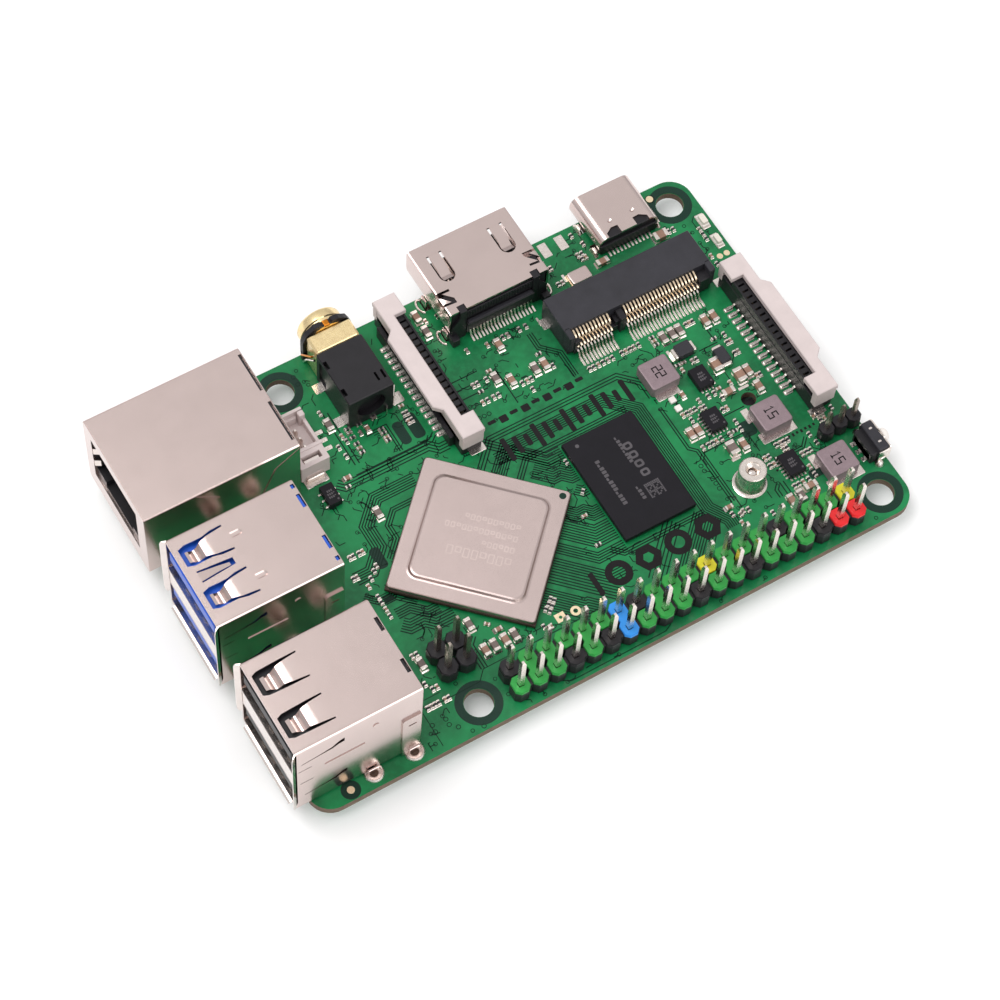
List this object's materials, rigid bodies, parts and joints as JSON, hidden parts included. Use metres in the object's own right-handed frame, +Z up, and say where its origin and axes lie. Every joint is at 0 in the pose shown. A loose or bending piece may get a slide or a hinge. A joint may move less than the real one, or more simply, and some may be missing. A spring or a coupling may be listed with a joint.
{
  "type": "single board computer",
  "caption": "Credit-card size circuit board with stacked USB, Ethernet, HDMI, USB-C and audio sockets, a colour-coded pin header, flex cable sockets and a metal-lidded processor.",
  "frame": {"origin": "centre of the underside of the bounding box, level with the tips of the solder tails", "axes": "+X towards the Ethernet and USB sockets, +Y towards the long pin header, +Z up out of the component side"},
  "size_m": [0.0886, 0.0594, 0.019],
  "materials": {
    "solder_mask": "semi-gloss green solder mask over fibreglass laminate",
    "shell_metal": "satin nickel plated sheet steel",
    "gold_plating": "gold plated brass",
    "black_plastic": "black moulded plastic",
    "header_plastic": "moulded plastic, a colour to each pin on the long header",
    "blue_plastic": "blue moulded plastic",
    "cream_plastic": "cream moulded plastic",
    "white_plastic": "white moulded plastic",
    "chip_plastic": "moulded epoxy",
    "laminate": "brown package laminate",
    "lid_metal": "matt nickel plated metal",
    "ferrite": "grey moulded ferrite powder",
    "tin_plate": "bright tin plate",
    "led_lens": "translucent lens"
  },
  "bodies": {
    "board": {"circuit_board": "solder_mask", "ethernet_shield": "shell_metal", "ethernet_housing": "black_plastic", "ethernet_contact_block": "black_plastic", "usb3_shield": "shell_metal", "usb3_housing": "blue_plastic", "usb3_tongue_lower": "blue_plastic", "usb3_tongue_upper": "blue_plastic", "usb2_shield": "shell_metal", "usb2_housing": "black_plastic", "usb2_tongue_lower": "black_plastic", "usb2_tongue_upper": "black_plastic", "hdmi_shield": "shell_metal", "hdmi_insulator": "black_plastic", "usbc_shield": "shell_metal", "usbc_insulator": "black_plastic", "audio_jack_body": "black_plastic", "audio_jack_ferrule": "gold_plating", "audio_jack_clip": "black_plastic", "csi_socket_housing": "black_plastic", "dsi_socket_housing": "black_plastic", "m2_socket_housing": "black_plastic", "m2_standoff": "tin_plate", "gpio_header": "header_plastic", "poe_header": "header_plastic", "three_pin_header": "header_plastic", "fan_header": "cream_plastic", "power_button_body": "black_plastic", "power_button_bracket": "tin_plate", "processor_substrate": "laminate", "processor_lid": "lid_metal", "memory_chip": "chip_plastic", "power_inductor_1": "ferrite", "power_inductor_2": "ferrite", "power_inductor_3": "ferrite", "regulator_chip_1": "chip_plastic", "regulator_chip_2": "chip_plastic", "regulator_chip_3": "chip_plastic", "fan_driver_chip": "chip_plastic", "diode_1": "chip_plastic", "diode_2": "chip_plastic", "crystal_can": "lid_metal", "status_led_1": "led_lens", "status_led_2": "led_lens", "microsd_socket_body": "black_plastic", "microsd_socket_shield": "shell_metal", "flash_chip": "chip_plastic"},
    "csi_cable_latch": {"csi_latch": "cream_plastic"},
    "dsi_cable_latch": {"dsi_latch": "cream_plastic"},
    "power_button": {"power_button_plunger": "white_plastic"}
  },
  "joints": [
    {"name": "csi_latch_lift", "type": "slide", "parent": "board", "child": "csi_cable_latch", "axis": [0, 0, 1], "range_m": [0, 0.0012]},
    {"name": "dsi_latch_lift", "type": "slide", "parent": "board", "child": "dsi_cable_latch", "axis": [0, 0, 1], "range_m": [0, 0.0012]},
    {"name": "power_button_press", "type": "slide", "parent": "board", "child": "power_button", "axis": [1, 0, 0], "range_m": [0, 0.00025], "stiffness_N_per_m": 400}
  ]
}
